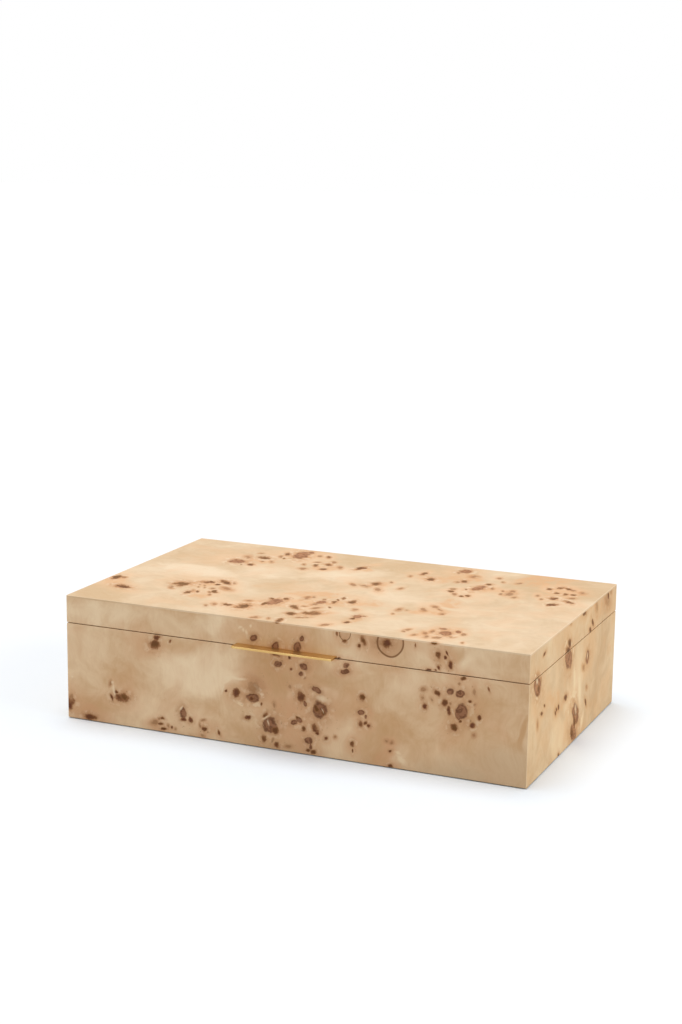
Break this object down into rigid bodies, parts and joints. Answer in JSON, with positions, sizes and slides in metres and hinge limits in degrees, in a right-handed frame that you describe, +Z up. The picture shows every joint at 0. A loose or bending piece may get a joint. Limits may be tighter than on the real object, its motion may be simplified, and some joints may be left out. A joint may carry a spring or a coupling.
{
  "type": "veneered wooden keepsake box",
  "caption": "Low rectangular keepsake box in burl veneer, with a hinged lid, a thin brass lift tab on the lid's front edge and a soft lining.",
  "frame": {"origin": "middle of the felt underside, on the surface that the box stands on", "axes": "+X along the front to the right, +Y from the front to the back, +Z up"},
  "size_m": [0.3, 0.1923, 0.079],
  "materials": {
    "burl_veneer": "satin",
    "rim_edging": "satin",
    "core_board": "matte",
    "suede_lining": "matte",
    "felt": "matte",
    "polished_brass": "polished",
    "screw_brass": "satin",
    "soft_dot": "matte"
  },
  "bodies": {
    "base": {"base_front_wall": "core_board", "base_right_wall": "core_board", "base_back_wall": "core_board", "base_left_wall": "core_board", "base_front_edging": "rim_edging", "base_right_edging": "rim_edging", "base_back_edging": "rim_edging", "base_left_edging": "rim_edging", "base_front_veneer": "burl_veneer", "base_right_veneer": "burl_veneer", "base_back_veneer": "burl_veneer", "base_left_veneer": "burl_veneer", "base_front_lining": "suede_lining", "base_right_lining": "suede_lining", "base_back_lining": "suede_lining", "base_left_lining": "suede_lining", "base_bottom_panel": "core_board", "base_floor_pad": "suede_lining", "base_felt": "felt", "lid_bumpers": "soft_dot", "left_hinge_base_leaf": "polished_brass", "left_hinge_pin": "polished_brass", "right_hinge_base_leaf": "polished_brass", "right_hinge_pin": "polished_brass", "hinge_base_screws": "screw_brass"},
    "lid": {"lid_front_rail": "core_board", "lid_right_rail": "core_board", "lid_back_rail": "core_board", "lid_left_rail": "core_board", "lid_front_edging": "rim_edging", "lid_right_edging": "rim_edging", "lid_back_edging": "rim_edging", "lid_left_edging": "rim_edging", "lid_front_veneer": "burl_veneer", "lid_right_veneer": "burl_veneer", "lid_back_veneer": "burl_veneer", "lid_left_veneer": "burl_veneer", "lid_front_lining": "suede_lining", "lid_right_lining": "suede_lining", "lid_back_lining": "suede_lining", "lid_left_lining": "suede_lining", "left_hinge_lid_leaf": "polished_brass", "right_hinge_lid_leaf": "polished_brass", "hinge_lid_screws": "screw_brass", "lid_top_panel": "core_board", "lid_top_veneer": "burl_veneer", "lid_pad": "suede_lining", "lift_tab": "polished_brass", "lift_tab_screws": "screw_brass"}
  },
  "joints": [
    {"name": "lid_hinge", "type": "hinge", "parent": "base", "child": "lid", "pos_m": [0, 0.0917, 0.0615], "axis": [-1, 0, 0], "range_deg": [0, 95]}
  ]
}
